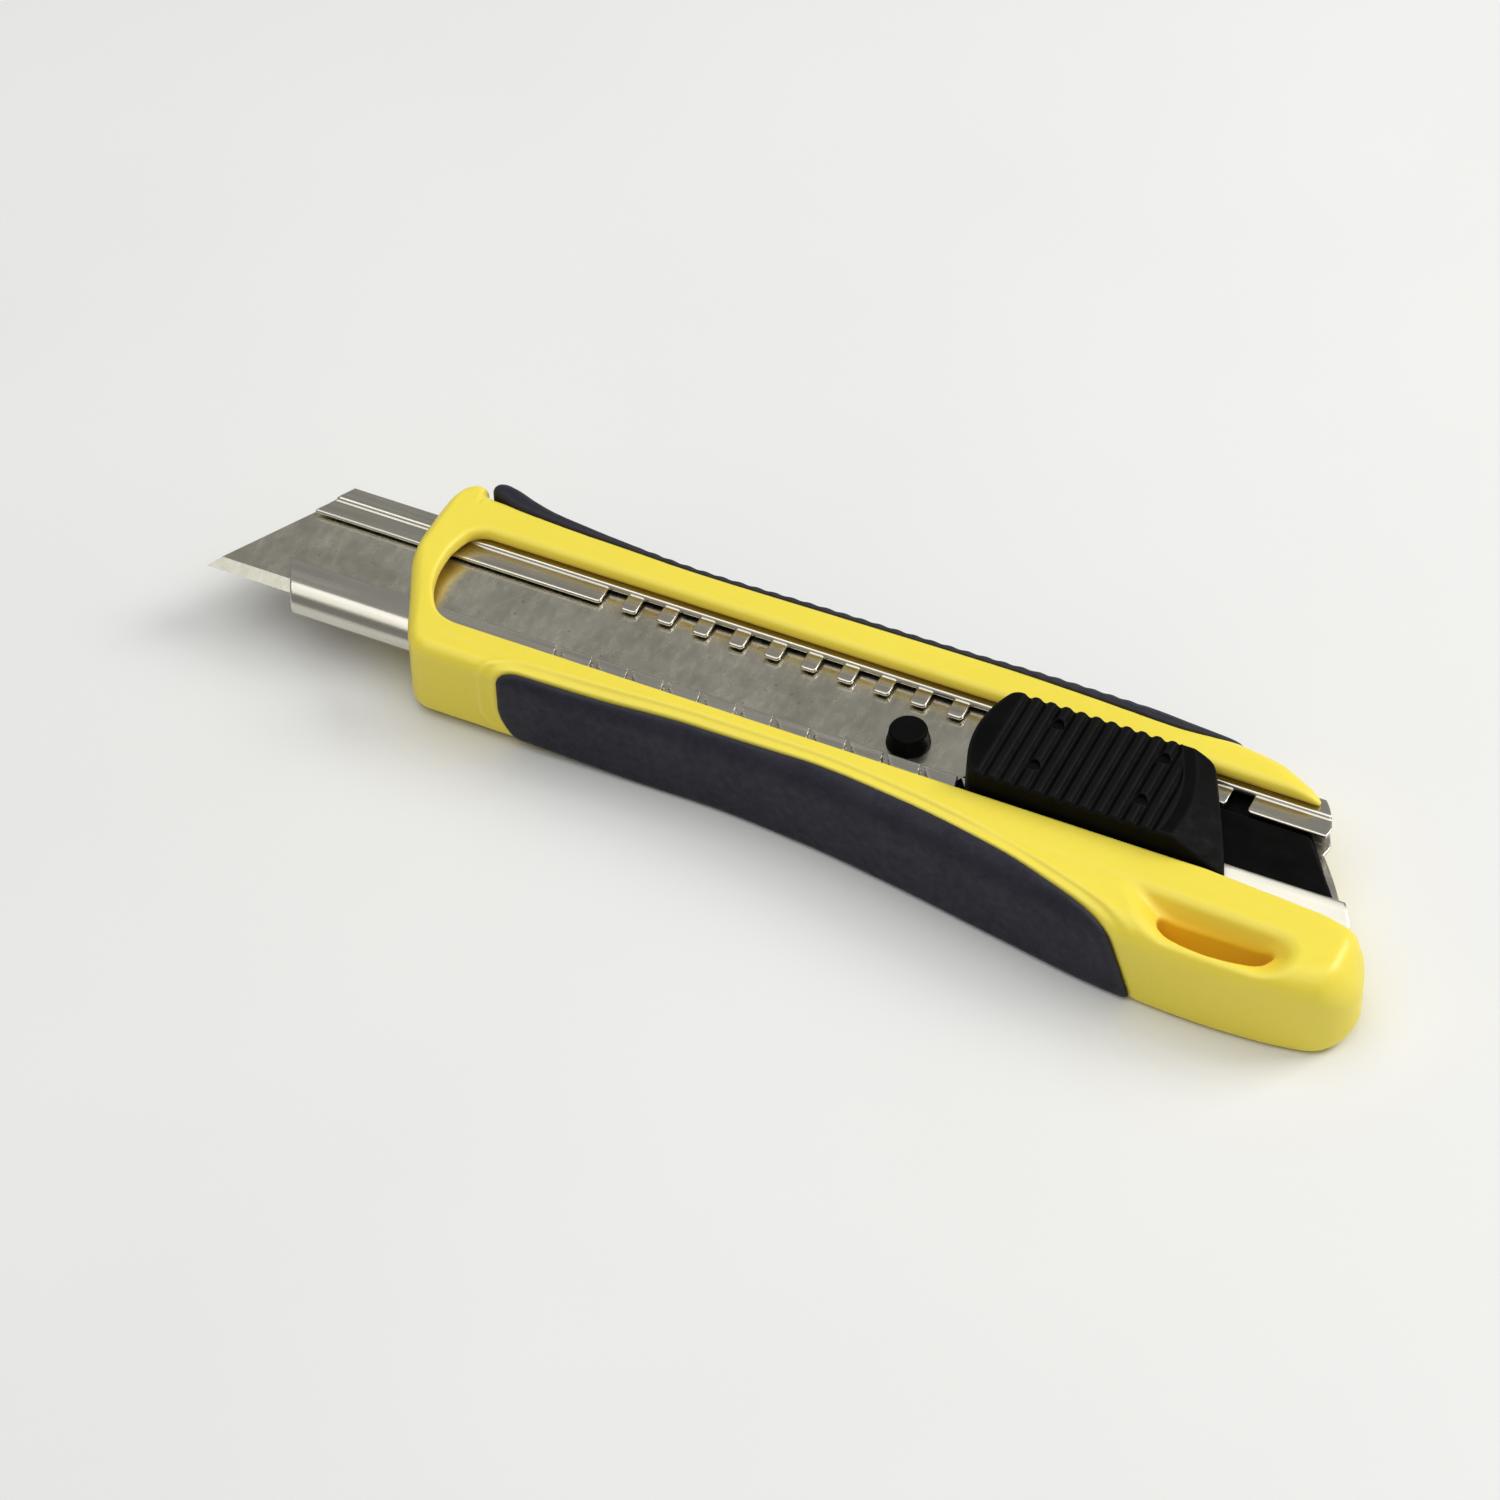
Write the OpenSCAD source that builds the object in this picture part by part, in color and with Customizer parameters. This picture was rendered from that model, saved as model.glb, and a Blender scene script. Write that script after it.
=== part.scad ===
// Snap-off utility knife: overmoulded handle, steel blade channel with a locking rack,
// and a thumb slider that carries the blade. It lies on its back: X runs from the blade
// tip to the rear, Y from the cutting edge to the spine, and Z = 0 is the surface it lies on.

/* [Blade] */
// Width of the blade, from cutting edge to spine
blade_w = 18; // [17.8:0.1:18.1]
// Length of the blade along its cutting edge
blade_l = 100; // [98:1:102]
// Thickness of the blade
blade_t = 0.5; // [0.4:0.05:0.5]
// Angle between the cutting edge and the front edge
blade_angle = 60; // [58:1:62]
// Width of the ground bevel behind the cutting edge
bevel_w = 2; // [1:0.1:2.5]
// Spacing of the score lines that the blade snaps along
snap_pitch = 10; // [9:1:11]

/* [Channel] */
// Thickness of the channel's steel sheet
sheet_t = 0.5; // [0.4:0.05:0.5]
// Spacing of the rack's gaps, one click of the slider
rack_pitch = 5; // [4.9:0.05:5.1]
// Length of one gap in the rack
gap_l = 2.8; // [2.6:0.1:3]
// Number of gaps in the rack
gap_n = 18; // [16:1:18]
// Height of the lips' upper side above the surface the knife lies on
lip_z = 10; // [10:0.1:10.2]

/* [Handle] */
// Height of the handle's upper face
handle_h = 12.5; // [12.4:0.1:13]
// Radius of the handle's long upper edges
edge_r = 3.2; // [3:0.1:3.5]
// Radius of the nose's upper edges
nose_r = 1.8; // [1.5:0.1:2]
// Radius of the handle's long lower edges
foot_r = 1.2; // [1:0.1:1.5]
// Thickness of the soft grips
grip_t = 1.8; // [1.4:0.1:2]
// How far the soft grips stand out of the handle
grip_proud = 0.3; // [0.1:0.1:0.5]

/* [Slider] */
// Height of the thumb pad's ribs above the surface the knife lies on
pad_h = 15.5; // [15:0.1:16]
// Spacing of the thumb pad's ribs
rib_pitch = 2; // [1.8:0.1:2.2]
// Travel of the thumb cap on its carriage, each way, that releases the lock
release_travel = 0.8; // [0.5:0.1:0.9]

/* [Hidden] */
$fn = 48;
eps = 0.05;

// The blade tip is at x = 0, y = 0; the whole knife is then moved so that its box is centred
knife_l = 159.6;
grip_y_min = -12.7;
grip_y_max = 26.5;
centre = [-knife_l / 2, -(grip_y_min + grip_y_max) / 2, 0];

// Heights inside the channel
lip_under = lip_z - sheet_t;
blade_z1 = lip_under - 0.35;
blade_z0 = blade_z1 - blade_t;
plate_z1 = blade_z0 - 0.05;
plate_z0 = 6.9;
floor_z0 = 6.3;
strip_z = lip_z + 0.35;

// Width of the channel and of what it leaves open
wall_y0 = -1.3;
wall_y1 = blade_w + 1;
near_lip_y = 4.7;
rack_y0 = 13.6;
rack_y1 = 16.4;
rack_x = 49.3;
roll_r = 2.6;
bend_r = 0.9;

// Window in the handle's upper face
window_y0 = 1;
window_y1 = 16.9;
window_flare_x = 137;
window_flare_y = -0.6;

// Slider
pin_pos = [94.6, 8.1];
pin_r = 2.75;
pin_top_z = lip_z + 1.6;
pin_foot_r = 1.2;
pin_foot_z = plate_z0 + 0.5;
cap_y0 = window_y0 + 0.3;
cap_y1 = window_y1 - 0.4;
cap_z0 = lip_z + 0.6;
saddle_z1 = lip_z + 2;
peg_x = [112.3, 126.3];
peg_y = [5.6, 13];
peg_r = 0.8;
groove_depth = 0.6;
groove_r = 0.65;
groove_n = 12;
groove_x0 = 107.4;
rear_slope = 28;
plate_x0 = 87;
plate_y0 = 1;
plate_y1 = 17.4;
tail_x = 151.8;
tail_y = 5;
plate_far_x = 143.5;
step_far_x = 145.5;
neck_x = [110, 129];
neck_y = [near_lip_y + 0.5, rack_y0 - 0.6];
saddle_x = [107, 129];
saddle_y = [3.2, 15];
saddle_gap = 1.1;

// Lock spring: a leaf with a tooth at its front end, riveted to the carriage at its rear end
catch_x = rack_x + 14 * rack_pitch;
leaf_l = 15;
leaf_t = 0.35;
leaf_z = plate_z1 + 0.05;
tooth_l = 2;
leaf_pin = [catch_x + 12, 15.1];
leaf_pin_r = 0.6;
leaf_pin_z = plate_z0 + 0.4;

// Handle edges: [x, y] control points of smooth curves
near_edge = [[23.7, 12.2], [24.6, 9.9], [27.9, 2.9], [30.8, -2.9], [32.2, -4.4], [34, -4.9],
             [46, -4.9], [58, -4.6], [72, -4.4], [86, -5.3], [100, -7.2], [115, -9.8], [130, -12.1],
             [142, -12.7], [149, -12.2], [154.5, -11], [157.4, -9.4], [159, -7.4], [159.6, -5]];
far_edge = [[23.7, 20.5], [24.5, 22.8], [25.6, 24.4], [26.8, 25], [27.8, 24.8], [28.6, 23.6], [30, 23.3],
            [47, 23.1], [60, 23], [78, 23.4], [100, 23.8], [113, 24], [126, 23.6], [132, 23.2],
            [138.4, 22.2], [142, 20.6], [144.2, 19.3], [145.6, 17.8], [146.2, 16], [147.3, 13.6],
            [155, 1.9], [157.8, 0.2], [159.2, -1.8], [159.6, -3]];
nub_edge = [[28.4, 24.6], [29, 25.9], [30, 26.2], [31.4, 26], [34.8, 24.9], [38.1, 24.1], [41.2, 23.7],
            [47.1, 23.3], [60, 23.1], [78, 23.5], [94, 23.7], [110, 24.1], [120, 24.1], [126, 23.7],
            [132, 23.2], [138, 22.3]];
belly_z = [[23.7, 1.6], [26, 1], [45, 1], [66, 0], [154, 0], [158, 0.5], [159.6, 1.8]];
crown_z = [[23.7, handle_h - 0.6], [25.5, handle_h], [156, handle_h], [159.6, handle_h - 2]];

// Borders of the soft grips on the upper face
near_grip_border = [[43.6, -3.95], [58, -3.2], [71, -2.6], [85, -2.6], [99, -3.8], [113, -6.3],
                    [121, -8.6], [127.2, -10.7], [130.8, -12.6], [133.5, -14.6]];
far_grip_border = [[28.6, 24.1], [34, 22.3], [46, 21.6], [72, 21.7], [100, 22], [115, 21.5],
                   [125, 21.1], [130, 21.7], [133.6, 22.8]];

// Monotone cubic through control points: it never overshoots them
function span(c, i) = (c[i + 1][1] - c[i][1]) / (c[i + 1][0] - c[i][0]);
function slope(c, i) =
    i == 0 ? span(c, 0)
    : i == len(c) - 1 ? span(c, i - 1)
    : span(c, i - 1) * span(c, i) <= 0 ? 0
    : 2 / (1 / span(c, i - 1) + 1 / span(c, i));
function hermite(c, i, w, t) =
    c[i][1] * (1 + 2 * t) * pow(1 - t, 2) + slope(c, i) * w * t * pow(1 - t, 2)
    + c[i + 1][1] * t * t * (3 - 2 * t) + slope(c, i + 1) * w * t * t * (t - 1);
function at(c, x) =
    x <= c[0][0] ? c[0][1]
    : x >= c[len(c) - 1][0] ? c[len(c) - 1][1]
    : let (i = max([for (k = [0 : len(c) - 2]) if (c[k][0] <= x) k]), w = c[i + 1][0] - c[i][0])
      hermite(c, i, w, (x - c[i][0]) / w);

// Radius of the upper edges at x: it grows from the nose to the grips
nose_end = 40;
grips_start = 60;
function upper_r(x) =
    let (t = min(1, max(0, (x - nose_end) / (grips_start - nose_end))))
    nose_r + (edge_r - nose_r) * t * t * (3 - 2 * t);

// One rounded cross-section of the handle at x, drawn inwards by inset
corner_steps = 4;
function section(x, near, far, inset, floor_inset) =
    let (y0 = at(near, x) + inset, y1 = at(far, x) - inset,
         z0 = at(belly_z, x) + floor_inset, z1 = at(crown_z, x) - inset,
         r = max(0.2, min(upper_r(x) - inset, 0.45 * (y1 - y0))), f = min(foot_r, 0.3 * (y1 - y0)),
         corners = [[y0 + f, z0 + f, f, 180], [y1 - f, z0 + f, f, 270], [y1 - r, z1 - r, r, 0],
                    [y0 + r, z1 - r, r, 90]])
    [for (c = corners, k = [0 : corner_steps])
        let (a = c[3] + 90 * k / corner_steps) [x, c[0] + c[2] * cos(a), c[1] + c[2] * sin(a)]];

// Skin through a list of cross-sections
module loft(sections) {
    n = len(sections[0]);
    m = len(sections);
    points = [for (s = sections, p = s) p];
    sides = [for (i = [0 : m - 2], k = [0 : n - 1])
                let (a = i * n + k, b = i * n + (k + 1) % n) each [[a, b + n, b], [a, a + n, b + n]]];
    front = [[for (k = [0 : n - 1]) k]];
    rear = [[for (k = [n - 1 : -1 : 0]) (m - 1) * n + k]];
    polyhedron(points = points, faces = concat(front, sides, rear));
}

skin_x = [23.7, 24.3, 25, 26, 27.2, 28.1, 28.8, 30.8, 32.2, 34, 40, 46, 53, 60, 66, 76, 86, 96, 106, 116,
          126, 132, 138, 142, 144, 145.4, 147, 150, 153, 155.4, 157, 158.4, 159.2, 159.6];
grip_x = [28.4, 28.8, 29.4, 31, 33, 35, 38, 42, 46, 53, 60, 66, 76, 86, 96, 106, 116, 126, 132, 138];

module skin() {
    loft([for (x = skin_x) section(x, near_edge, far_edge, 0, 0)]);
}

module grip_core() {
    loft([for (x = skin_x) if (x > 27 && x < 145) section(x, near_edge, far_edge, grip_t, grip_t)]);
}

module grip_skin() {
    loft([for (x = grip_x) section(x, near_edge, nub_edge, -grip_proud, 0)]);
}

module near_grip_zone(gap) {
    border = [for (c = near_grip_border) [c[0], c[1] - gap]];
    x0 = near_grip_border[0][0] + gap;
    x1 = near_grip_border[len(near_grip_border) - 1][0] - gap;
    xs = [for (k = [0 : 20]) x0 + (x1 - x0) * k / 20];
    translate([0, 0, -1]) linear_extrude(handle_h + 3)
        polygon(concat([for (x = xs) [x, at(border, x)]], [[x1, -20], [x0, -20]]));
}

module far_grip_zone(gap) {
    border = [for (c = far_grip_border) [c[0], c[1] + gap]];
    x0 = far_grip_border[0][0] + gap;
    x1 = far_grip_border[len(far_grip_border) - 1][0] - gap;
    xs = [for (k = [0 : 20]) x0 + (x1 - x0) * k / 20];
    translate([0, 0, -1]) linear_extrude(handle_h + 3)
        polygon(concat([for (x = xs) [x, at(border, x)]], [[x1, 32], [x0, 32]]));
}

// Window above the blade, open at the rear, where its near edge runs outwards
module window_cut() {
    front = [[30.5, window_y1], [29, 15.2], [28.4, 12.5], [28.4, 9.5], [29.4, 6.2], [31, 3.2], [32.6, 1.6],
             [34.4, window_y0]];
    translate([0, 0, lip_z]) linear_extrude(handle_h)
        polygon(concat(front, [[window_flare_x, window_y0], [knife_l + 1, window_flare_y],
                               [knife_l + 1, window_y1]]));
}

// Scooped lanyard slot in the rear corner: a groove that deepens towards the slot, steep on its
// far side and gentle on its near side, and a slot through its floor
slot_x = [136.9, 146];
slot_y = -8.6;
slot_r = 2.1;
scoop_x = [127.5, 137, 147, 151];
scoop_far_y = -4.9;
scoop_depth = 3;
scoop_far_w = 2;
scoop_near_w = 6;
module lanyard_cut() {
    up = 1;
    // Triangle in Y and Z at x, as deep as share times the scoop's full depth
    module slice(x, share) {
        d = scoop_depth * share;
        y = scoop_far_y - scoop_far_w * share;
        translate([x, 0, handle_h]) rotate([90, 0, 90]) linear_extrude(eps)
            polygon([[scoop_far_y + up * scoop_far_w / scoop_depth, up], [y, -d],
                     [y - scoop_near_w * share - up * scoop_near_w / scoop_depth, up]]);
    }
    hull() {
        slice(scoop_x[0], 0.02);
        slice(scoop_x[1], 1);
    }
    hull() {
        slice(scoop_x[1], 1);
        slice(scoop_x[2], 1);
    }
    hull() {
        slice(scoop_x[2], 1);
        slice(scoop_x[3], 0.02);
    }
    translate([0, 0, -1]) linear_extrude(handle_h + 3) {
        for (x = slot_x) translate([x, slot_y]) circle(slot_r);
        translate([slot_x[0], slot_y - slot_r]) square([slot_x[1] - slot_x[0], 2 * slot_r]);
    }
}

rivet_x = [40, 128];
rivet_y = 9;
rivet_r = 1.5;
rivet_head_r = 2.8;
rivet_head_t = 1;
rivet_sink = 0.3;
function rivet_z(x) = at(belly_z, x) + rivet_sink;

module rivet(x) {
    translate([x, rivet_y, rivet_z(x)]) {
        cylinder(r = rivet_head_r, h = rivet_head_t);
        cylinder(r = rivet_r, h = floor_z0 + sheet_t - rivet_z(x));
    }
}

module handle_body() {
    color([0.93, 0.80, 0.13]) translate(centre) difference() {
        skin();
        difference() {
            union() {
                near_grip_zone(0);
                far_grip_zone(0);
            }
            grip_core();
        }
        translate([0, wall_y0 - eps, floor_z0 - eps])
            cube([knife_l + 1, wall_y1 - wall_y0 + 2 * eps, strip_z - floor_z0 + 2 * eps]);
        window_cut();
        lanyard_cut();
        for (x = rivet_x) {
            translate([x, rivet_y, rivet_z(x) - 1])
                cylinder(r = rivet_head_r + eps, h = rivet_head_t + 1);
            translate([x, rivet_y, 0]) cylinder(r = rivet_r + eps, h = floor_z0);
        }
    }
}

module lower_grip() {
    color([0.16, 0.17, 0.21]) translate(centre) difference() {
        intersection() {
            grip_skin();
            near_grip_zone(eps);
        }
        grip_core();
    }
}

module upper_grip() {
    color([0.16, 0.17, 0.21]) translate(centre) difference() {
        intersection() {
            grip_skin();
            far_grip_zone(eps);
        }
        grip_core();
    }
}

// Quarter of a bend in the sheet, for the corner at the least Y; up is 1 for the upper corner
module quarter_bend(r, up) {
    translate([wall_y0 + r, up > 0 ? lip_z - r : floor_z0 + r]) intersection() {
        difference() {
            circle(r);
            circle(r - sheet_t);
        }
        translate([-r, up > 0 ? 0 : -r]) square(r);
    }
}

// Channel cross-section in Y and Z: floor, two walls, rolled near lip, stepped far lip
module channel_section() {
    translate([wall_y0 + bend_r, floor_z0]) square([wall_y1 - wall_y0 - bend_r, sheet_t]);
    quarter_bend(bend_r, -1);
    translate([wall_y0, floor_z0 + bend_r]) square([sheet_t, lip_z - floor_z0 - bend_r - roll_r]);
    quarter_bend(roll_r, 1);
    translate([wall_y0 + roll_r, lip_under]) square([near_lip_y - wall_y0 - roll_r, sheet_t]);
    translate([wall_y1 - sheet_t, floor_z0]) square([sheet_t, strip_z - floor_z0]);
    translate([rack_y1, strip_z - sheet_t]) square([wall_y1 - rack_y1, sheet_t]);
    translate([rack_y0, lip_under]) square([rack_y1 - rack_y0 + 0.3, sheet_t]);
}

// Plan of the channel: both ends are cut on the slant, the front one behind the blade's edge
channel_front = [[9.8, near_lip_y], [13.3, wall_y0 - 1]];
channel_rear = [[157.5, wall_y0 - 1], [153.7, near_lip_y], [147.3, rack_y0], [147.9, rack_y0 + 1],
                [146.3, rack_y1 + 0.6], [144.5, wall_y1 + 1]];
module channel_plan() {
    polygon(concat([[8.3, rack_y0], [13.5, rack_y0], [13.5, near_lip_y]], channel_front,
                   channel_rear, [[11.9, wall_y1 + 1]]));
}

module blade_channel() {
    color([0.75, 0.75, 0.73]) translate(centre) difference() {
        intersection() {
            rotate([90, 0, 90]) linear_extrude(knife_l) channel_section();
            linear_extrude(handle_h) channel_plan();
        }
        // Gaps between the rack's teeth, and a slit in the near lip opposite each
        for (i = [0 : gap_n - 1])
            translate([rack_x + i * rack_pitch, rack_y0 - 1, lip_under - 1])
                cube([gap_l, rack_y1 - rack_y0 + 1, sheet_t + 1.1]);
        for (i = [0 : gap_n - 1])
            translate([rack_x - 1.3 + i * rack_pitch, near_lip_y, lip_under - 1])
                linear_extrude(sheet_t + 1.1)
                    polygon([[0.5, -2.4], [1.9, -2.4], [0.15, eps], [-0.15, eps]]);
        for (x = rivet_x) translate([x, rivet_y, 0]) cylinder(r = rivet_r, h = lip_under - 1);
    }
}

module channel_rivets() {
    color([0.7, 0.7, 0.7]) translate(centre) for (x = rivet_x) rivet(x);
}

// Blade: ground on both sides, parallel slanted ends, scored underneath
module snap_blade() {
    lean = blade_w / tan(blade_angle);
    mid_z = (blade_z0 + blade_z1) / 2;
    color([0.56, 0.55, 0.52]) translate(centre) difference() {
        intersection() {
            rotate([90, 0, 90]) linear_extrude(blade_l + lean)
                polygon([[0, mid_z], [bevel_w, blade_z0], [blade_w, blade_z0], [blade_w, blade_z1],
                         [bevel_w, blade_z1]]);
            translate([0, 0, blade_z0 - 1]) linear_extrude(blade_t + 2)
                polygon([[0, 0], [blade_l, 0], [blade_l + lean, blade_w], [lean, blade_w]]);
        }
        for (x = [snap_pitch : snap_pitch : blade_l - 2 * snap_pitch])
            translate([x, 0, blade_z0]) rotate([0, 0, blade_angle]) rotate([45, 0, 0])
                translate([-5, -0.07, -0.07]) cube([blade_w + 12, 0.14, 0.14]);
        translate([pin_pos[0], pin_pos[1], blade_z0 - 1]) cylinder(r = pin_r + 0.07, h = blade_t + 2);
    }
}

// Pin through the blade: a foot in the carriage and a tapered head with a rounded top
module blade_pin() {
    dome = 0.35;
    taper = 0.3;
    color([0.1, 0.1, 0.1]) translate(centre) translate([pin_pos[0], pin_pos[1], 0])
        rotate_extrude()
            polygon([[0, pin_foot_z], [pin_foot_r, pin_foot_z], [pin_foot_r, plate_z1], [pin_r, plate_z1],
                     [pin_r, blade_z1 + 0.6], [pin_r - taper, pin_top_z - dome],
                     [pin_r - taper - dome, pin_top_z], [0, pin_top_z]]);
}

// Carriage: a plate under the blade, a raised part behind it, and a saddle above the lips
module slider_carriage() {
    lean = blade_w / tan(blade_angle);
    step_x = blade_l + 1.5;
    step_y1 = rack_y0 - 0.2;
    corner = 2;
    color([0.09, 0.09, 0.09]) translate(centre) difference() {
        union() {
            translate([0, 0, plate_z0]) linear_extrude(plate_z1 - plate_z0)
                polygon([[plate_x0, plate_y0 + corner], [plate_x0 + corner, plate_y0],
                         [tail_x, plate_y0], [tail_x, tail_y], [plate_far_x, plate_y1],
                         [plate_x0 + corner, plate_y1], [plate_x0, plate_y1 - corner]]);
            translate([0, 0, plate_z0]) linear_extrude(lip_under - 0.1 - plate_z0)
                polygon([[step_x, plate_y0], [tail_x, plate_y0], [tail_x, tail_y], [step_far_x, step_y1],
                         [step_x + (step_y1 - plate_y0) * lean / blade_w, step_y1]]);
            translate([neck_x[0], neck_y[0], plate_z0])
                cube([neck_x[1] - neck_x[0], neck_y[1] - neck_y[0], saddle_z1 - plate_z0]);
            translate([saddle_x[0], saddle_y[0], cap_z0])
                cube([saddle_x[1] - saddle_x[0], saddle_y[1] - saddle_y[0], saddle_z1 - cap_z0]);
        }
        // Oblong pockets in which the pegs travel
        for (x = peg_x, y = peg_y) hull() for (s = [-1, 1])
            translate([x + s * (release_travel + 0.2), y, cap_z0 - 1])
                cylinder(r = peg_r + 0.2, h = 4, $fn = 32);
        // Pocket under the leaf, in which it bends down
        translate([catch_x - 3, rack_y0 + 0.2, plate_z1 - 1]) cube([leaf_l - 3, 2.6, 2]);
        translate([pin_pos[0], pin_pos[1], pin_foot_z]) cylinder(r = pin_foot_r, h = 3);
        translate([leaf_pin[0], leaf_pin[1], leaf_pin_z]) cylinder(r = leaf_pin_r, h = 3);
    }
}

// Plan of the thumb cap: bowed front, slanted rear
cap_front_x = 103.2;
cap_bow = 2.1;
cap_rear = [[139.3, cap_y0], [138.7, 3.6], [135.9, 9], [132.8, 15.6], [131.6, cap_y1]];
module cap_plan(inset) {
    half = (cap_y1 - cap_y0) / 2;
    bow_r = (half * half + cap_bow * cap_bow) / (2 * cap_bow);
    intersection() {
        translate([cap_front_x + inset + bow_r, (cap_y0 + cap_y1) / 2]) circle(bow_r, $fn = 96);
        translate([cap_front_x - 1, cap_y0 + inset]) square([13, cap_y1 - cap_y0 - 2 * inset]);
    }
    intersection() {
        translate([cap_front_x + 10, cap_y0 + inset]) square([40, cap_y1 - cap_y0 - 2 * inset]);
        polygon(concat([[cap_front_x + 9, cap_y1], [cap_front_x + 9, cap_y0]],
                       [for (c = cap_rear) [c[0] - inset, c[1]]]));
    }
}

module slider_cap() {
    pad_z = pad_h - groove_depth;
    color([0.11, 0.11, 0.11]) translate(centre) difference() {
        union() {
            translate([0, 0, cap_z0]) linear_extrude(pad_z - cap_z0) cap_plan(0);
            translate([0, 0, pad_z - eps]) linear_extrude(groove_depth + eps) cap_plan(0.3);
        }
        for (i = [0 : groove_n - 1])
            translate([groove_x0 + i * rib_pitch, cap_y0 - 1, pad_h + groove_r - groove_depth])
                rotate([-90, 0, 0]) cylinder(r = groove_r, h = cap_y1 - cap_y0 + 2, $fn = 24);
        translate([groove_x0 + (groove_n - 1) * rib_pitch + 0.9, 0, pad_h - groove_depth])
            rotate([0, rear_slope, 0]) cube([14, 20, 8]);
        translate([saddle_x[0] - saddle_gap, saddle_y[0] - 0.1, cap_z0 - 1])
            cube([saddle_x[1] - saddle_x[0] + 2 * saddle_gap, saddle_y[1] - saddle_y[0] + 0.2,
                  saddle_z1 - cap_z0 + 1.1]);
        for (x = peg_x, y = peg_y) translate([x, y, cap_z0]) cylinder(r = peg_r, h = 8);
    }
}

module cap_pegs() {
    color([0.06, 0.06, 0.06]) translate(centre)
        for (x = peg_x, y = peg_y)
            translate([x, y, cap_z0 + 0.1]) cylinder(r = peg_r, h = pad_h - groove_depth - cap_z0 - 0.2);
}

// Leaf spring with the tooth that sits in a gap of the rack
module lock_spring() {
    color([0.7, 0.7, 0.72]) translate(centre) difference() {
        union() {
            translate([catch_x - 0.5, rack_y0 + 0.4, leaf_z]) cube([leaf_l, 2.2, leaf_t]);
            translate([catch_x + 0.4, rack_y0 + 0.5, leaf_z])
                cube([tooth_l, 2, lip_z - 0.05 - leaf_z]);
        }
        translate([leaf_pin[0], leaf_pin[1], leaf_z - 1]) cylinder(r = leaf_pin_r, h = 3);
    }
}

module spring_rivet() {
    color([0.6, 0.6, 0.6]) translate(centre) translate([leaf_pin[0], leaf_pin[1], leaf_pin_z])
        cylinder(r = leaf_pin_r, h = leaf_z + leaf_t - leaf_pin_z);
}

handle_body();
lower_grip();
upper_grip();
blade_channel();
channel_rivets();
snap_blade();
blade_pin();
slider_carriage();
slider_cap();
cap_pegs();
lock_spring();
spring_rivet();
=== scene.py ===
"""Snap-off utility knife: moulded handle and grips, steel channel, blade and thumb slider.

Lengths are millimetres in the knife's own frame (blade tip at x = 0, cutting edge at y = 0,
surface that it lies on at z = 0); every mesh is moved to the row frame, in metres, when it is made.
Moulded and pressed parts are solids described by distance functions, which round their edges.
"""
import math

import bpy
import numpy as np
from mathutils import Matrix, Vector


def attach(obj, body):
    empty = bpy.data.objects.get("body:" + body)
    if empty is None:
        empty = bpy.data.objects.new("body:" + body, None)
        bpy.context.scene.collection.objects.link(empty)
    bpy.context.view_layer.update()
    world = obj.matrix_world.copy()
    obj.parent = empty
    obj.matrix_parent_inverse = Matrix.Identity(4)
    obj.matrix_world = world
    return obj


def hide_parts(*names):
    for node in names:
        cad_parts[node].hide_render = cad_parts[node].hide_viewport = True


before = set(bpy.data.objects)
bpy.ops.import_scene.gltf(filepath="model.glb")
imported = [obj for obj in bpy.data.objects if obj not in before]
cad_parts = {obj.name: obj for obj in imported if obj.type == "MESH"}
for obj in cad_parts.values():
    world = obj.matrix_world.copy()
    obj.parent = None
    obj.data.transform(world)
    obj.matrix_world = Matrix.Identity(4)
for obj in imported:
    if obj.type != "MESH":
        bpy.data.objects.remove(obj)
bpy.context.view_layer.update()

MM = 0.001
ORIGIN = np.array([79.8, 6.9, 0.0])      # the row frame's origin in the knife's frame
COARSE = 1.0

# ---------------------------------------------------------------- handle and grips: sizes
HANDLE_X = (23.7, 159.6)     # front and rear ends of the moulding
HANDLE_H = 12.5
EDGE_R = 3.2                 # radius along the top edges, and how it changes at the ends
NOSE_R = 1.8
TAIL_R_MORE = 0.8
FOOT_R = 1.2
FRONT_R = 1.2                # radii of the plan outline's corners
REAR_R = 4.0
GRIP_T = 1.8
GRIP_PROUD = 0.3
GRIP_SEAM = 0.06             # gap between a grip and the edge of its pocket
NEAR_GRIP_X = 42.2
FAR_GRIP_X = (28.7, 134.0)
BEAD = (1.7, 0.38, 0.24)     # bead beside the near grip: distance from the border, width and height
BEAD_GROOVE = (1.0, 0.3, 0.16)
WAVE_PITCH = 2.4             # faint waves on the far grip
WAVE_H = 0.06
WINDOW_Y = (1.0, 16.9)
WINDOW_REAR_X = 170.0        # anywhere behind the handle: the window is open there
FLARE_X = (137.0, 160.0)     # where the window's near side runs outwards, and how far
FLARE_Y = -0.62
WINDOW_RIM_R = (0.55, 1.3)   # rounding of the window's edge, near side and far side
SLOT_X = (134.2, 148.9)      # lanyard slot: its ends, its straight far side and its depth
SLOT_FAR_Y = -6.9
SLOT_MIN_W = 0.9
SLOT_BULGE = 3.3
SCOOP_X = (127.5, 151.5)     # scoop around the slot: its ends, its far edge and its depth
SCOOP_FAR_Y = -4.6
SCOOP_TURN = -0.03
SCOOP_RUN_IN = 9.5
SCOOP_DEPTH = 3.0
SCOOP_SLOPES = (1.5, 0.5, 0.9)      # far wall, floor and rear end

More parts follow.
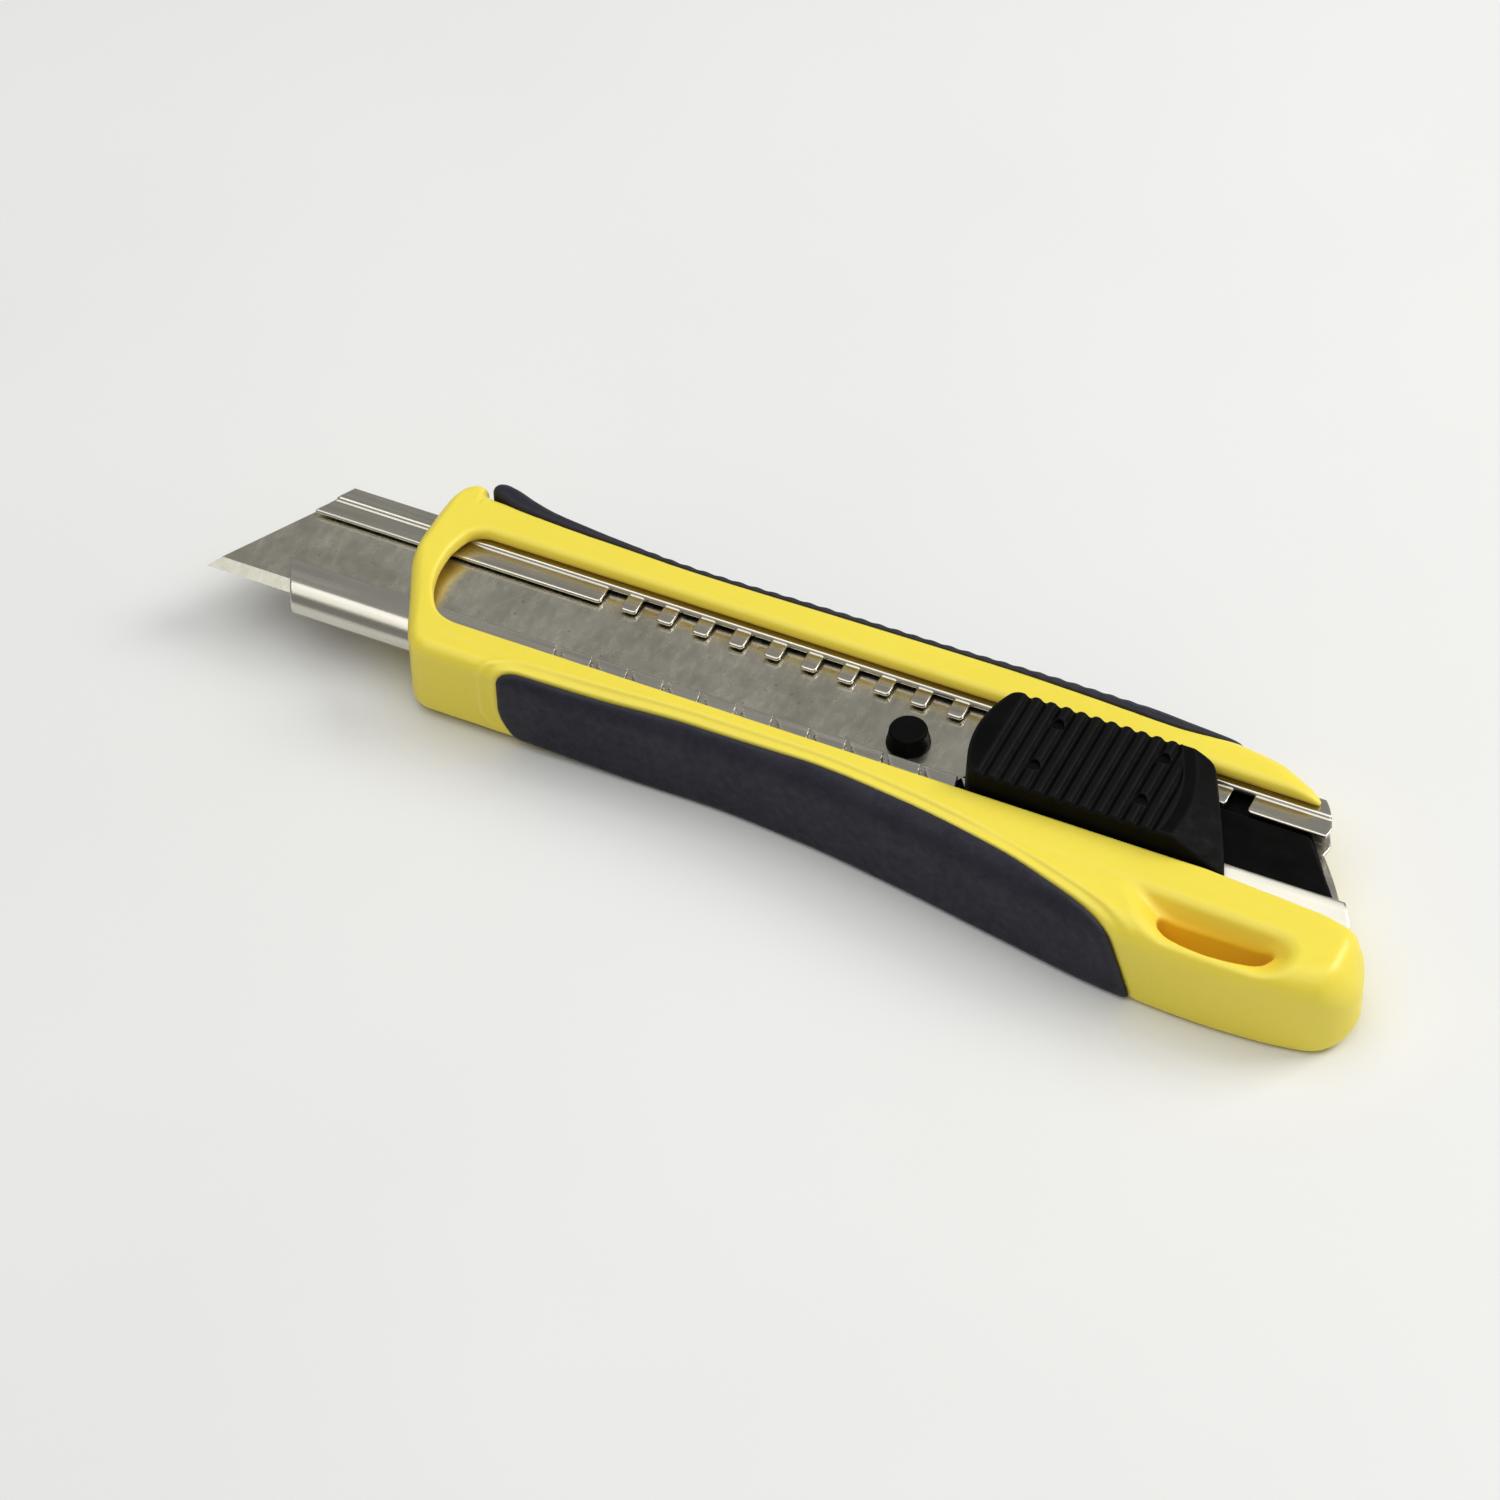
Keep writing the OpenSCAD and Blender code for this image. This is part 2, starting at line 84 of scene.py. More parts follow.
# ---------------------------------------------------------------- channel and blade: sizes
SHEET_T = 0.5
LIP_Z = 10.0                 # upper side of the lips
BLADE_TOP = LIP_Z - SHEET_T - 0.35
BEVEL_W = 2.0
STRIP_Z = LIP_Z + 0.35       # upper side of the raised strip beside the rack
STRIP_RISE = 0.5
FLOOR_Z = 6.3
WALL_Y = (-1.3, 19.0)
ROLL_R = 2.6                 # bends at the top and at the foot of the near wall
BEND_R = 0.9
NEAR_LIP_Y = 4.7
REAR_LIP_X = 135.0           # behind this the near lip rolls down instead of lying flat
REAR_LIP_RUN = 5.0
REAR_LIP_SAG = 0.10
REAR_LIP_MORE = 2.3
NOTCH_W = 0.2                # small slits in the near lip
NOTCH_DEPTH = 2.4
NOTCH_LEAD = 1.3             # how far they lie ahead of the rack's gaps
RACK_Y = (13.6, 16.4)
RACK_X = 49.3
RACK_PITCH = 5.0
GAP_L = 2.8
GAP_N = 18
TOOTH_R = 0.6
LIP_FRONT_X = (9.8, 8.3)     # front ends of the near lip and the rack at their free edges
FLOOR_FRONT_X = 13.5
RIVET_X = (40.0, 128.0)
RIVET_Y = 9.0
RIVET_R = 1.52

# ---------------------------------------------------------------- carriage, pin and thumb pad: sizes
PLATE_Z = (6.9, 8.6)
STEP_Z = (6.9, 9.4)
STEP_FAR_Y = 13.4
TAIL_X = 151.8
PIN = (94.6, 8.1)
PIN_R = 2.75
PIN_FOOT_R = 1.15
PIN_TOP_Z = LIP_Z + 1.6
PIN_ROUND = 0.45
CAP_X = (103.2, 139.3)
CAP_Y = (1.3, 16.5)
CAP_Z0 = LIP_Z + 0.6
CAP_BOW = 2.1                # how far the pad's front end bows forwards
CAP_LEAN = 0.3
PAD_H = 15.5
RIB_PITCH = 2.0
GROOVE_X0 = 107.4
GROOVE_DEPTH = 0.6
RIB_ARC = (130.4, 5.5, 0.028)       # rear end of the ribs: its place, its middle and its bow
REAR_FALL = (1.9, 0.52)      # behind the arc: length of the flat band, then the slope
PEG_X = (112.3, 126.3)
PEG_Y = (5.6, 13.0)
PEG_MARK_R = 0.85

# ---------------------------------------------------------------- outlines, as control points
NEAR_EDGE = [[23.7, 12.2], [24.6, 9.9], [27.9, 2.9], [30.8, -2.9], [32.2, -4.4], [34, -4.9],
             [46, -4.9], [58, -4.6], [72, -4.4], [86, -5.3], [100, -7.2], [115, -9.8], [130, -12.1],
             [142, -12.7], [149, -12.4], [154.5, -11.6], [159.6, -10]]
FAR_EDGE = [[23.7, 20.5], [24.5, 22.8], [25.6, 24.4], [26.8, 25], [27.8, 24.8], [28.6, 23.6], [30, 23.3],
            [47, 23.1], [60, 23], [78, 23.4], [100, 23.8], [113, 24], [126, 23.6], [132, 23.2],
            [138.4, 22.2], [142, 20.6], [144.2, 19.3], [145.6, 17.8], [146.2, 16], [147.3, 13.6],
            [155, 1.9], [157.8, 0.2], [159.6, -1.2]]
NUB_EDGE = [[28.4, 24.6], [29, 25.9], [30, 26.2], [31.4, 26], [34.8, 24.9], [38.1, 24.1],
            [41.2, 23.7], [47.1, 23.3], [60, 23.1], [78, 23.5], [94, 23.7], [110, 24.1], [120, 24.1],
            [126, 23.7], [132, 23.2], [138, 22.3]]
BELLY_Z = [[23.7, 1.6], [26, 1], [45, 1], [66, 0], [154, 0], [158, 0.5], [159.6, 1.8]]
CROWN_Z = [[23.7, HANDLE_H - 0.6], [25.5, HANDLE_H], [156, HANDLE_H], [159.6, HANDLE_H - 2]]
NEAR_BORDER = [[42, -4.0], [58, -3.2], [71, -2.6], [85, -2.6], [99, -3.8], [113, -6.3],
               [121, -8.6], [127.2, -10.7], [130.8, -12.6], [134, -15]]
FAR_BORDER = [[28.2, 24.2], [34, 22.3], [46, 21.6], [72, 21.7], [100, 22], [115, 21.5],
              [125, 21.1], [130, 21.7], [134.5, 23.4]]


# ---------------------------------------------------------------- distance functions
def curve(points):
    """Monotone cubic through control points, and its slope, as functions of x."""
    x, y = (np.array([p[k] for p in points], float) for k in (0, 1))
    w = np.diff(x)
    d = np.diff(y) / w
    m = np.zeros(len(x))
    m[0], m[-1] = d[0], d[-1]
    turn = d[:-1] * d[1:] > 0
    m[1:-1][turn] = 2 / (1 / d[:-1][turn] + 1 / d[1:][turn])

    def at(q):
        q = np.clip(q, x[0], x[-1])
        i = np.clip(np.searchsorted(x, q) - 1, 0, len(w) - 1)
        t, wi = (q - x[i]) / w[i], w[i]
        v = (y[i] * (1 + 2 * t) * (1 - t) ** 2 + m[i] * wi * t * (1 - t) ** 2
             + y[i + 1] * t * t * (3 - 2 * t) + m[i + 1] * wi * t * t * (t - 1))
        s = (6 * t * (1 - t) * (y[i + 1] - y[i]) / wi + m[i] * (1 - t) * (1 - 3 * t)
             + m[i + 1] * t * (3 * t - 2))
        return v, s
    return at


near_edge, far_edge, nub_edge = curve(NEAR_EDGE), curve(FAR_EDGE), curve(NUB_EDGE)
belly_z, crown_z = curve(BELLY_Z), curve(CROWN_Z)
near_border, far_border = curve(NEAR_BORDER), curve(FAR_BORDER)


def both(a, b, r):
    """Intersection of two solids with their common edge rounded to radius r."""
    return (np.minimum(np.maximum(a, b), -r)
            + np.hypot(np.maximum(a + r, 0), np.maximum(b + r, 0)))


def cut(a, b, r):
    """Solid a less solid b, with the new edge rounded to radius r."""
    return both(a, -b, r)


def above(c, x, y):
    """Distance from a curve y(x), positive on its +y side."""
    v, s = c(x)
    return (y - v) / np.sqrt(1 + s * s)


def box(x, y, z, lo, hi, r):
    """Box with its edges rounded to radius r."""
    d = [np.maximum(l - p, p - h) + r for p, l, h in zip((x, y, z), lo, hi)]
    return (np.sqrt(sum(np.maximum(q, 0) ** 2 for q in d))
            + np.minimum(np.maximum(np.maximum(d[0], d[1]), d[2]), 0) - r)


def polygon(x, y, points, r):
    """Convex outline, its points running anticlockwise, with corners rounded to radius r."""
    d = None
    for (ax, ay), (bx, by) in zip(points, points[1:] + points[:1]):
        n = np.hypot(bx - ax, by - ay)
        side = ((x - ax) * (by - ay) - (y - ay) * (bx - ax)) / n
        d = side if d is None else both(d, side, r)
    return d


# ---------------------------------------------------------------- meshes
CORNERS = [(i, j, k) for i in (0, 1) for j in (0, 1) for k in (0, 1)]


def crossed_cells(inside):
    """Grid cells with some corners inside the solid and some outside."""
    shape = [n - 1 for n in inside.shape]
    count = sum(inside[tuple(slice(o, o + n) for o, n in zip(c, shape))].astype(np.int8) for c in CORNERS)
    return np.argwhere((count > 0) & (count < len(CORNERS)))


def cell_points(d, cells):
    """One point per cell, in grid steps: the mean of the places where the surface crosses its edges."""
    total, hits = np.zeros((len(cells), 3)), np.zeros(len(cells))
    for axis in range(3):
        for corner in CORNERS:
            if corner[axis]:
                continue
            end = list(corner)
            end[axis] = 1
            a, b = d[tuple((cells + corner).T)], d[tuple((cells + end).T)]
            crossed = (a < 0) != (b < 0)
            place = np.repeat(np.array([corner], float), crossed.sum(), 0)
            place[:, axis] = a[crossed] / (a[crossed] - b[crossed])
            total[crossed] += place
            hits[crossed] += 1
    return cells + total / hits[:, None]


def cell_faces(inside, cells):
    """Four-sided faces, each joining the cells around a grid edge that the surface crosses."""
    shape = [n - 1 for n in inside.shape]
    number = np.full(shape, -1, np.int64)
    number[tuple(cells.T)] = np.arange(len(cells))
    faces = []
    for axis in range(3):
        u, v = (axis + 1) % 3, (axis + 2) % 3
        here, there = [slice(None)] * 3, [slice(None)] * 3
        here[axis], there[axis] = slice(0, -1), slice(1, None)
        a, b = inside[tuple(here)], inside[tuple(there)]
        for flip, crossed in ((False, a & ~b), (True, b & ~a)):
            at = np.argwhere(crossed)
            at = at[(at[:, u] > 0) & (at[:, v] > 0) & (at[:, u] < shape[u]) & (at[:, v] < shape[v])]
            ring = []
            for du, dv in ((1, 1), (0, 1), (0, 0), (1, 0)):
                cell = at.copy()
                cell[:, u] -= du
                cell[:, v] -= dv
                ring.append(number[tuple(cell.T)])
            faces.append(np.stack(ring[::-1] if flip else ring, 1))
    return np.concatenate(faces)


def moved_onto(solid, points, limit):
    """Points moved along the gradient onto the surface, by no more than limit at a time."""
    eps = 0.02
    for _ in range(3):
        f = solid(*points.T)
        g = np.stack([solid(*(points + eps * np.eye(3)[k]).T) - f for k in range(3)], 1) / eps
        move = -f[:, None] * g / np.maximum((g * g).sum(1), 0.05)[:, None]
        size = np.linalg.norm(move, axis=1, keepdims=True)
        points = points + move * np.minimum(1, limit / np.maximum(size, 1e-9))
    return points


def convexity(solid, points):
    """How convex the surface is at each point, from -1 to 1, seen over a width of 0.35 mm."""
    wide = 0.35
    bend = sum(solid(*(points + s * wide * np.eye(3)[k]).T) for k in range(3) for s in (-1, 1)) / wide
    return np.clip(bend, -1, 1)


def surface(solid, lo, hi, step):
    """Points, faces and convexity of the surface where solid(x, y, z) = 0, sampled on a grid."""
    step = np.array(step, float) * COARSE
    lo, hi = np.array(lo, float) - step * 1.37, np.array(hi, float) + step * 1.61
    n = np.ceil((hi - lo) / step).astype(int) + 1
    axes = [lo[k] + step[k] * np.arange(n[k]) for k in range(3)]
    d = solid(*np.meshgrid(*axes, indexing="ij", sparse=True)) + np.zeros(n)
    cells = crossed_cells(d < 0)
    points = moved_onto(solid, lo + step * cell_points(d, cells), 0.5 * float(step.max()))
    return points, cell_faces(d < 0, cells), convexity(solid, points)


def piece(name, points, faces, body, material, nodes=(), edge=None, deep=None):
    """Blender object from points in the knife's frame, riding on a body and standing for CAD nodes."""
    mesh = bpy.data.meshes.new(name)
    p = (np.asarray(points, float) - ORIGIN) * MM
    if isinstance(faces, np.ndarray):
        mesh.vertices.add(len(p))
        mesh.vertices.foreach_set("co", p.ravel())
        mesh.loops.add(faces.size)
        mesh.loops.foreach_set("vertex_index", faces.ravel())
        mesh.polygons.add(len(faces))
        mesh.polygons.foreach_set("loop_start", np.arange(0, faces.size, faces.shape[1]))
        mesh.update(calc_edges=True)
        mesh.validate()
    else:
        mesh.from_pydata(p.tolist(), [], faces)
    mesh.polygons.foreach_set("use_smooth", np.ones(len(mesh.polygons), bool))
    for key, value in (("edge", edge), ("deep", deep)):
        if value is not None and len(value) == len(mesh.vertices):
            mesh.attributes.new(key, "FLOAT", "POINT").data.foreach_set("value", value)
    mesh.materials.append(material)
    ob = bpy.data.objects.new(name, mesh)
    bpy.context.scene.collection.objects.link(ob)
    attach(ob, body)
    if nodes:
        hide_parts(*nodes)
    return ob


def moulded(name, solid, lo, hi, step, body, material, nodes=(), skin=None):
    """Piece from a distance function; with a skin, it records how far each point lies below it."""
    points, faces, edge = surface(solid, lo, hi, step)
    deep = None if skin is None else np.clip(-skin(*points.T), 0, 5)
    return piece(name, points, faces, body, material, nodes, edge, deep)


def turned(name, profile, centre, body, material, nodes=(), turns=72):
    """Solid of revolution about a vertical axis; the profile is (radius, z) from bottom to top."""
    angles = [2 * math.pi * k / turns for k in range(turns)]
    points = [(centre[0] + r * math.cos(a), centre[1] + r * math.sin(a), z)
              for r, z in profile for a in angles]
    faces = []
    for ring in range(0, (len(profile) - 1) * turns, turns):
        for k in range(turns):
            a, b = ring + k, ring + (k + 1) % turns
            faces.append((a, b, b + turns, a + turns))
    faces.append(list(range(turns))[::-1])
    faces.append([(len(profile) - 1) * turns + k for k in range(turns)])
    return piece(name, points, faces, body, material, nodes)


# ---------------------------------------------------------------- handle and grips
def ease(t):
    """Smooth step from 0 to 1 as t goes from 0 to 1."""
    t = np.clip(t, 0, 1)
    return t * t * (3 - 2 * t)


def hull(x, y, z, far, proud):
    """Body of the handle, grown by proud: plan outline between belly and crown, its long edges rounded."""
    near, away = -above(near_edge, x, y) - proud, above(far, x, y) - proud
    plan = both(both(both(near, away, 0.8), HANDLE_X[0] - x, FRONT_R), x - HANDLE_X[1], REAR_R)
    top = z - crown_z(x)[0] - proud
    bottom = belly_z(x)[0] - z
    r = NOSE_R + (EDGE_R - NOSE_R) * ease((x - 40) / 20) + TAIL_R_MORE * ease((x - 150) / 8)
    return both(both(plan, top, r + proud), bottom, FOOT_R)


def handle_skin(x, y, z):
    """Handle before anything is cut from it."""
    return hull(x, y, z, far_edge, 0)


def near_zone(x, y, z):
    """Where the near grip lies: below its border, with a round front end and a raked rear end."""
    rake = np.clip((x - 105) / 25, 0, 1) * np.minimum(z - 11, 0) * 0.28
    front = NEAR_GRIP_X + np.maximum(6.5 - z, 0) ** 2 * 0.10 - x
    return both(above(near_border, x + rake, y), front, 4.5)


def far_zone(x, y, z):
    """Where the far grip lies: beyond its border, from the nub to the tail."""
    d = both(-above(far_border, x, y), x - FAR_GRIP_X[1], 0.6)
    return both(d, FAR_GRIP_X[0] - x, 0.5)


def border_bead(x, z, zone):
    """Height of the bead that runs round the near grip, with a fine groove between the two."""
    bead, groove = (h * np.exp(-((zone - place) / width) ** 2) for place, width, h in (BEAD, BEAD_GROOVE))
    return (bead - groove) * np.clip((133 - x) / 6, 0, 1) * np.clip((z - 1) / 3, 0, 1)


def channel_pocket(y, z):
    """Space that the channel lies in."""
    fit = 0.05
    return np.maximum(np.maximum(WALL_Y[0] - fit - y, y - WALL_Y[1] - fit),
                      np.maximum(FLOOR_Z - fit - z, z - STRIP_Z - fit))


def window(x, y, z):
    """Window over the blade: round in front, open behind, its near side flaring out at the rear."""
    near, far = WINDOW_Y
    front = polygon(x, y, [[30.3, far], [28.9, 14.8], [28.4, 12], [28.4, 9.5], [29.2, 6.2], [30.8, 3.2],
                           [33.2, near], [WINDOW_REAR_X, near], [WINDOW_REAR_X, far]], 1.6)
    flare = polygon(x, y, [[FLARE_X[0], near], [FLARE_X[1], FLARE_Y], [WINDOW_REAR_X, FLARE_Y],
                           [WINDOW_REAR_X, 5], [FLARE_X[0], 5]], 0.1)
    return np.maximum(np.minimum(front, flare), LIP_Z - z)


def window_rim_r(x, y):
    """Radius of the window's edge: small on the near side and at the tail, larger on the far side."""
    wide = np.clip((y - 4) / 8, 0, 1) * np.clip((156 - x) / 8, 0, 1)
    return WINDOW_RIM_R[0] + (WINDOW_RIM_R[1] - WINDOW_RIM_R[0]) * wide


def sloped(rise, slope):
    """Distance from a plane, given the height above it and its slope."""
    return rise / math.hypot(1, slope)


def scoop(x, y, z):
    """Finger scoop around the lanyard slot: a steep far wall, a gentle floor and a raked rear end."""
    steep, gentle, raked = SCOOP_SLOPES
    depth = SCOOP_DEPTH * ease((x - SCOOP_X[0]) / SCOOP_RUN_IN)
    wall_y = SCOOP_FAR_Y + SCOOP_TURN * (x - SCOOP_X[0])
    floor_y = wall_y - depth / steep
    wall = sloped(HANDLE_H - steep * (wall_y - y) - z, steep)
    floor = sloped(HANDLE_H - depth + gentle * (floor_y - y) - z, gentle)
    end = sloped(x - SCOOP_X[1] + raked * (HANDLE_H - z), raked)
    return both(both(wall, floor, 1.0), end, 2.0)


def lanyard_slot(x, y):
    """Lens-shaped slot through the rear corner: straight on its far side, bowed on its near side."""
    u = (x - (SLOT_X[0] + SLOT_X[1]) / 2) / ((SLOT_X[1] - SLOT_X[0]) / 2)
    near_y = SLOT_FAR_Y - SLOT_MIN_W - SLOT_BULGE * np.sqrt(np.maximum(1 - u * u, 0))
    return both(both(y - SLOT_FAR_Y, near_y - y, 0.5), (np.abs(u) - 1) * 4, 0.5)


def handle_solid(x, y, z):
    """Handle with the grips' pockets, the channel's pocket, the window, the scoop and the slot."""
    near = near_zone(x, y, z)
    body = handle_skin(x, y, z) - border_bead(x, z, near)
    core = body + GRIP_T
    body = cut(body, np.maximum(near, -core), 0.3)
    body = cut(body, np.maximum(far_zone(x, y, z), -core), 0.3)
    body = cut(body, channel_pocket(y, z), 0.06)
    body = cut(body, window(x, y, z), window_rim_r(x, y))
    body = cut(body, scoop(x, y, z), 0.8)
    return cut(body, lanyard_slot(x, y), 0.35)


def grip_layer(x, y, z, body):
    """The outer layer of a body, down to the floor of the grips' pockets."""
    return np.maximum(body, -(handle_skin(x, y, z) + GRIP_T))


def near_grip_solid(x, y, z):
    """Soft grip along the cutting-edge side."""
    layer = grip_layer(x, y, z, hull(x, y, z, far_edge, GRIP_PROUD))
    return both(layer, near_zone(x, y, z) + GRIP_SEAM, 0.7)


def far_grip_solid(x, y, z):
    """Soft grip along the spine side, faintly waved, with a proud nub at its front end."""
    wave = ease((x - 48) / 6) * ease((122 - x) / 6) * WAVE_H * np.cos(2 * math.pi * x / WAVE_PITCH)
    body = hull(x, y, z, nub_edge, GRIP_PROUD) - wave * np.clip((z - 7) / 3, 0, 1)
    return both(grip_layer(x, y, z, body), far_zone(x, y, z) + GRIP_SEAM, 0.6)


# ---------------------------------------------------------------- channel
def bent(y, z, cy, cz, r):
    """Bend of the sheet with outer radius r about (cy, cz)."""
    return np.abs(np.hypot(y - cy, z - cz) - (r - SHEET_T / 2)) - SHEET_T / 2


def from_nearest(x, first):
    """Distance along x from the nearest of the rack's places, the first of which is given."""
    x = x - first
    return x - RACK_PITCH * np.clip(np.round(x / RACK_PITCH), 0, GAP_N - 1)


def channel_floor(x, y, z):
    """Floor of the channel, with a hole for each rivet."""
    half = SHEET_T / 2
    floor = np.maximum(np.abs(z - FLOOR_Z - half) - half,
                       np.maximum(WALL_Y[0] + BEND_R - y, y - WALL_Y[1]))
    for rivet_x in RIVET_X:
        floor = np.maximum(floor, RIVET_R - np.hypot(x - rivet_x, y - RIVET_Y))
    return floor


def near_side(x, y, z):
    """Near wall with its two bends, and the lip over the blade with its small slits."""
    half = SHEET_T / 2
    roll_y, roll_z = WALL_Y[0] + ROLL_R, LIP_Z - ROLL_R
    bend_y, bend_z = WALL_Y[0] + BEND_R, FLOOR_Z + BEND_R
    rear = ease((x - REAR_LIP_X) / REAR_LIP_RUN)
    wall = np.maximum(np.abs(y - WALL_Y[0] - half) - half, np.maximum(bend_z - z, z - roll_z))
    low = np.maximum(bent(y, z, bend_y, bend_z, BEND_R), np.maximum(y - bend_y, z - bend_z))
    high = np.maximum(bent(y, z, roll_y, roll_z, ROLL_R), np.maximum(y - roll_y, roll_z - z))
    high = np.maximum(high, (x - REAR_LIP_X - 3) * 0.5)
    sag = REAR_LIP_SAG * rear * np.maximum(NEAR_LIP_Y + 0.2 - y, 0) ** 2
    lip = (np.abs(z - LIP_Z + half + sag) - half) * (1 - 0.15 * rear)
    lip = both(np.maximum(lip, roll_y - REAR_LIP_MORE * rear - y), y - NEAR_LIP_Y, 0.12)
    inward = np.maximum(NEAR_LIP_Y - y, 0)
    slit_x = from_nearest(x, RACK_X - NOTCH_LEAD)
    slit = np.maximum(np.abs(slit_x - 0.5 * inward) - NOTCH_W - 0.28 * inward, inward - NOTCH_DEPTH)
    return np.minimum(np.minimum(wall, low), np.minimum(high, cut(lip, slit, 0.02)))


def far_side(x, y, z):
    """Far wall, and the lip with the raised strip and the rack's gaps."""
    half = SHEET_T / 2
    wall = np.maximum(np.abs(y - WALL_Y[1] + half) - half, np.maximum(FLOOR_Z - z, z - STRIP_Z + 0.1))
    rise = LIP_Z + (STRIP_Z - LIP_Z) * ease((y - RACK_Y[1] + 0.1) / STRIP_RISE)
    lip = np.maximum((np.abs(z - rise + half) - half) * 0.75, y - WALL_Y[1])
    lip = both(lip, RACK_Y[0] - y, 0.24)
    gap_x = from_nearest(x, RACK_X + GAP_L / 2)
    gap = np.maximum(np.abs(gap_x) - GAP_L / 2, y - RACK_Y[1])
    round_teeth = -both(GAP_L / 2 - np.abs(gap_x), RACK_Y[0] - y, TOOTH_R)
    gap = np.where(y < RACK_Y[0] + TOOTH_R, round_teeth, gap)
    return np.minimum(wall, cut(lip, gap, 0.12))


def channel_front(x, y):
    """Front ends of the two lips, slanted, and of the floor between them."""
    near = LIP_FRONT_X[0] + (NEAR_LIP_Y - y) * 0.5 - x
    far = LIP_FRONT_X[1] + (y - RACK_Y[0]) * 0.56 - x
    return np.where(y > RACK_Y[0] - 1e-6, far, np.where(y < NEAR_LIP_Y + 1e-6, near, FLOOR_FRONT_X - x))


def channel_rear(x, y):
    """Rear end of the channel: slanted along the handle's tail, its far lip rounded off."""
    near = polygon(x, y, [[0, -3], [157.9, -3], [153.7, 4.7], [147.3, 14], [142, 20], [0, 20]], 0.8)
    far = polygon(x, y, [[0, 12], [146.6, 12], [147.9, 14.2], [147.4, 16.6], [144.6, 20], [0, 20]], 1.2)
    return np.where(y > 13.4, far, near)


def channel_solid(x, y, z):
    """Channel folded from one sheet."""
    sheet = np.minimum(channel_floor(x, y, z), np.minimum(near_side(x, y, z), far_side(x, y, z)))
    return both(np.maximum(sheet, channel_front(x, y)), channel_rear(x, y), 0.12)


# ---------------------------------------------------------------- carriage and thumb pad
def rear_arc(y):
    """Where the ribbed part of the thumb pad ends: an arc bowed towards the rear."""
    return RIB_ARC[0] - RIB_ARC[2] * (y - RIB_ARC[1]) ** 2


def cap_outline(x, y, inset):
    """Plan outline of the thumb pad, drawn in by inset: an arc in front and a slanted rear end."""
    half = (CAP_Y[1] - CAP_Y[0]) / 2
    r = (half * half + CAP_BOW * CAP_BOW) / (2 * CAP_BOW)
    front = np.hypot(x - CAP_X[0] - inset - r, y - (CAP_Y[0] + CAP_Y[1]) / 2) - r
    front = np.where(x > CAP_X[0] + r, -1e3, front)
    near_y, far_y = CAP_Y[0] + inset, CAP_Y[1] - inset
    rear = polygon(x, y, [[100, near_y], [CAP_X[1] - inset, near_y], [138.7 - inset, 3.6],
                          [135.9 - inset, 9], [132.8 - inset, 15.6], [131.6 - inset, far_y],
                          [100, far_y]], 0.8)
    return both(front, rear, 0.9)


def cap_solid(x, y, z):
    """Thumb pad: ribbed and slightly crowned, falling away behind the ribs, hollow underneath."""
    wave = 0.5 + 0.5 * np.cos(2 * math.pi * (x - GROOVE_X0) / RIB_PITCH)
    ribbed = ease((x - GROOVE_X0 + 0.9) / 0.4) * ease((rear_arc(y) - x) / 0.5 + 0.5)
    top = PAD_H - GROOVE_DEPTH * wave ** 1.4 * ribbed - 0.05 * ((y - 9) / 7) ** 2
    inset = np.clip((z - CAP_Z0) / (PAD_H - CAP_Z0), 0, 1) * CAP_LEAN
    d = both(cap_outline(x, y, inset), (z - top) * 0.75, 0.3)
    band, slope = REAR_FALL
    dished = 0.25 * ease((x - rear_arc(y)) / 0.4)
    drop = np.maximum(x - rear_arc(y) - band, 0)
    d = both(d, (z - PAD_H + dished + slope * drop) * 0.85, 0.25)
    hollow = box(x, y, z, (105.9, 3.1, CAP_Z0 - 2), (130.1, 15.1, LIP_Z + 2.1), 0.3)
    d = cut(d, hollow, 0.1)
    mark_z = PAD_H - GROOVE_DEPTH - 0.3
    for peg_x in PEG_X:
        for peg_y in PEG_Y:
            d = cut(d, np.maximum(np.hypot(x - peg_x, y - peg_y) - PEG_MARK_R, mark_z - z), 0.1)
    return both(d, CAP_Z0 - z, 0.2)


def between(z, low, high):
    """Distance from the layer between two heights."""
    return np.abs(z - (low + high) / 2) - (high - low) / 2


def carriage_solid(x, y, z):
    """Plate under the blade, a raised step behind it, a neck between the lips and a saddle above."""
    low = polygon(x, y, [[87, 4], [89, 2.2], [TAIL_X, 2.2], [TAIL_X, 5], [143.5, 17.4], [89, 17.4],
                         [87, 15]], 0.8)
    step = polygon(x, y, [[103.2, 4], [TAIL_X, 4], [TAIL_X, 5], [145.5, STEP_FAR_Y],
                          [108.66, STEP_FAR_Y]], 0.5)
    plates = np.minimum(both(low, between(z, *PLATE_Z), 0.15), both(step, between(z, *STEP_Z), 0.15))
    neck = box(x, y, z, (110, NEAR_LIP_Y + 0.5, 6.95), (129, RACK_Y[0] - 0.6, LIP_Z + 2), 0.2)
    saddle = box(x, y, z, (107, 3.2, CAP_Z0), (129, 15.0, LIP_Z + 2), 0.2)
    return np.minimum(plates, np.minimum(neck, saddle))


def pin_profile():
    """Blade pin as (radius, z), from its foot to the rounded rim of its slightly dished head."""
    foot_z, shoulder_z = 7.45, PLATE_Z[1] + 0.02
    top_r = PIN_R - 0.3
    rim_r, rim_z = top_r - PIN_ROUND, PIN_TOP_Z - PIN_ROUND
    angles = [math.radians(90 - 11.25 * k) for k in range(9)]
    return ([(PIN_FOOT_R, foot_z), (PIN_FOOT_R, shoulder_z), (PIN_R - 0.1, shoulder_z),
             (PIN_R, shoulder_z + 0.1), (PIN_R, BLADE_TOP + 0.5), (PIN_R - 0.08, BLADE_TOP + 0.65)]
            + [(rim_r + PIN_ROUND * math.sin(a), rim_z + PIN_ROUND * math.cos(a)) for a in angles]
            + [(top_r - 0.9, PIN_TOP_Z), (top_r - 1.0, PIN_TOP_Z - 0.03)])


